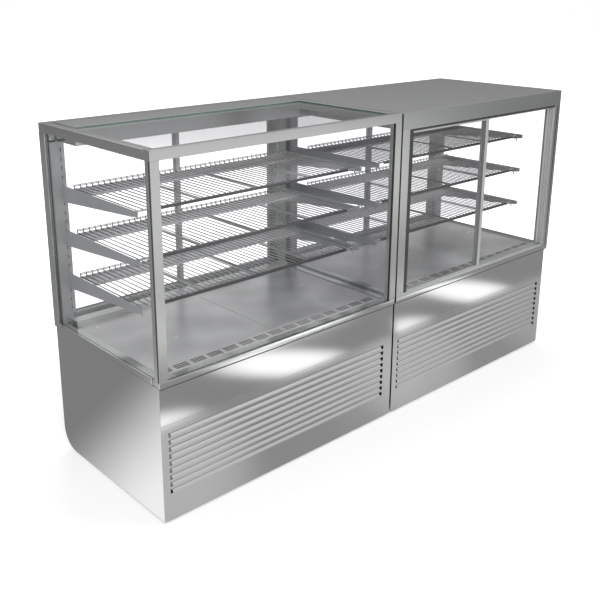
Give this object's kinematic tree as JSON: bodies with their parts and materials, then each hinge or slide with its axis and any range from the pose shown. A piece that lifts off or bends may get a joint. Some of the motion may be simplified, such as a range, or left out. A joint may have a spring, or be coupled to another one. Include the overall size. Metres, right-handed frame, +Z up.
{
  "type": "refrigerated display case",
  "caption": "Two joined refrigerated display cabinets with glass upper cases, wire shelves, sliding glass doors and louvred stainless steel bases.",
  "frame": {"origin": "on the floor under the middle of the run of two cabinets", "axes": "+X along the run to the customer's right, +Y from the customer's side to the server's side, +Z up"},
  "size_m": [2.41, 0.75, 1.35],
  "materials": {
    "stainless_panel": "brushed stainless sheet with a satin sheen",
    "stainless_frame": "brushed stainless sections, fine grain along their length",
    "stainless_top": "smooth satin stainless lid",
    "stainless_polished": "bright stainless with soft mirror-like reflections",
    "shelf_wire": "bright plated wire and strip",
    "door_aluminium": "anodised extrusion",
    "clear_glass": "clear toughened glass with faintly green edges",
    "light_strip": "dark strip with a narrow lens",
    "seal_rubber": "dark extruded gasket",
    "galvanised": "zinc coated sheet",
    "well_liner": "foam-filled liner",
    "foot_steel": "plated steel",
    "compressor_paint": "black enamel",
    "coil_aluminium": "thin aluminium fins",
    "fan_plastic": "moulded fan",
    "black_plastic": "fine textured moulding"
  },
  "bodies": {
    "cabinet": {"left_louvre_panel": "stainless_panel", "left_sill_frame": "stainless_frame", "left_corner_posts": "stainless_frame", "left_top_frame": "stainless_frame", "left_wire_shelf_top": "shelf_wire", "left_wire_shelf_middle": "shelf_wire", "left_wire_shelf_bottom": "shelf_wire", "right_louvre_panel": "stainless_panel", "right_sill_frame": "stainless_frame", "right_corner_posts": "stainless_frame", "right_top_frame": "stainless_frame", "right_wire_shelf_top": "shelf_wire", "right_wire_shelf_middle": "shelf_wire", "right_wire_shelf_bottom": "shelf_wire", "left_top_glass": "clear_glass", "left_front_glass": "clear_glass", "side_glass_panes": "clear_glass", "right_lid": "stainless_top", "end_panels": "stainless_panel", "rear_panels": "stainless_panel", "front_bands": "stainless_polished", "deck_trays": "stainless_polished", "air_grilles": "stainless_polished", "rear_headers": "stainless_frame", "shelf_uprights": "stainless_frame", "shelf_brackets": "stainless_frame", "door_tracks": "stainless_frame", "shelf_light_strips": "light_strip", "glass_seals": "seal_rubber", "base_pans": "galvanised", "base_posts": "galvanised", "cold_wells": "well_liner", "levelling_feet": "foot_steel", "joining_bolts": "foot_steel", "compressors": "compressor_paint", "condenser_coils": "coil_aluminium", "evaporator_coils": "coil_aluminium", "condenser_fan_mounts": "galvanised", "evaporator_fan_mounts": "galvanised", "controllers": "black_plastic", "switch_housings": "black_plastic", "cable_glands": "black_plastic"},
    "left_rear_inner_leaf": {"left_rear_door_inner": "door_aluminium", "left_rear_door_inner_glass": "clear_glass"},
    "left_rear_outer_leaf": {"left_rear_door_outer": "door_aluminium", "left_rear_door_outer_glass": "clear_glass"},
    "right_rear_inner_leaf": {"right_rear_door_inner": "door_aluminium", "right_rear_door_inner_glass": "clear_glass"},
    "right_rear_outer_leaf": {"right_rear_door_outer": "door_aluminium", "right_rear_door_outer_glass": "clear_glass"},
    "right_front_outer_leaf": {"right_front_door_outer": "door_aluminium", "right_front_door_outer_glass": "clear_glass"},
    "right_front_inner_leaf": {"right_front_door_inner": "door_aluminium", "right_front_door_inner_glass": "clear_glass"},
    "left_condenser_fan": {"left_condenser_fan_rotor": "fan_plastic"},
    "left_evaporator_fan": {"left_evaporator_fan_rotor": "fan_plastic"},
    "left_rocker": {"left_rocker_switch": "black_plastic"},
    "right_condenser_fan": {"right_condenser_fan_rotor": "fan_plastic"},
    "right_evaporator_fan": {"right_evaporator_fan_rotor": "fan_plastic"},
    "right_rocker": {"right_rocker_switch": "black_plastic"}
  },
  "joints": [
    {"name": "left_rear_inner_leaf_slide", "type": "slide", "parent": "cabinet", "child": "left_rear_inner_leaf", "axis": [1, 0, 0], "range_m": [0, 0.54]},
    {"name": "left_rear_outer_leaf_slide", "type": "slide", "parent": "cabinet", "child": "left_rear_outer_leaf", "axis": [1, 0, 0], "range_m": [-0.54, 0]},
    {"name": "right_rear_inner_leaf_slide", "type": "slide", "parent": "cabinet", "child": "right_rear_inner_leaf", "axis": [1, 0, 0], "range_m": [0, 0.54]},
    {"name": "right_rear_outer_leaf_slide", "type": "slide", "parent": "cabinet", "child": "right_rear_outer_leaf", "axis": [1, 0, 0], "range_m": [-0.54, 0]},
    {"name": "right_front_outer_leaf_slide", "type": "slide", "parent": "cabinet", "child": "right_front_outer_leaf", "axis": [1, 0, 0], "range_m": [0, 0.53]},
    {"name": "right_front_inner_leaf_slide", "type": "slide", "parent": "cabinet", "child": "right_front_inner_leaf", "axis": [1, 0, 0], "range_m": [-0.53, 0]},
    {"name": "left_condenser_fan_spin", "type": "hinge", "parent": "cabinet", "child": "left_condenser_fan", "pos_m": [-0.435, -0.2375, 0.126], "axis": [0, 1, 0], "continuous": true},
    {"name": "left_evaporator_fan_spin", "type": "hinge", "parent": "cabinet", "child": "left_evaporator_fan", "pos_m": [-0.605, 0.095, 0.456], "axis": [0, 1, 0], "continuous": true},
    {"name": "left_rocker_tilt", "type": "hinge", "parent": "cabinet", "child": "left_rocker", "pos_m": [-0.965, 0.358, 0.46], "axis": [1, 0, 0], "range_deg": [-24, 0]},
    {"name": "right_condenser_fan_spin", "type": "hinge", "parent": "cabinet", "child": "right_condenser_fan", "pos_m": [0.775, -0.2375, 0.126], "axis": [0, 1, 0], "continuous": true},
    {"name": "right_evaporator_fan_spin", "type": "hinge", "parent": "cabinet", "child": "right_evaporator_fan", "pos_m": [0.605, 0.095, 0.456], "axis": [0, 1, 0], "continuous": true},
    {"name": "right_rocker_tilt", "type": "hinge", "parent": "cabinet", "child": "right_rocker", "pos_m": [0.245, 0.358, 0.46], "axis": [1, 0, 0], "range_deg": [-24, 0]}
  ]
}
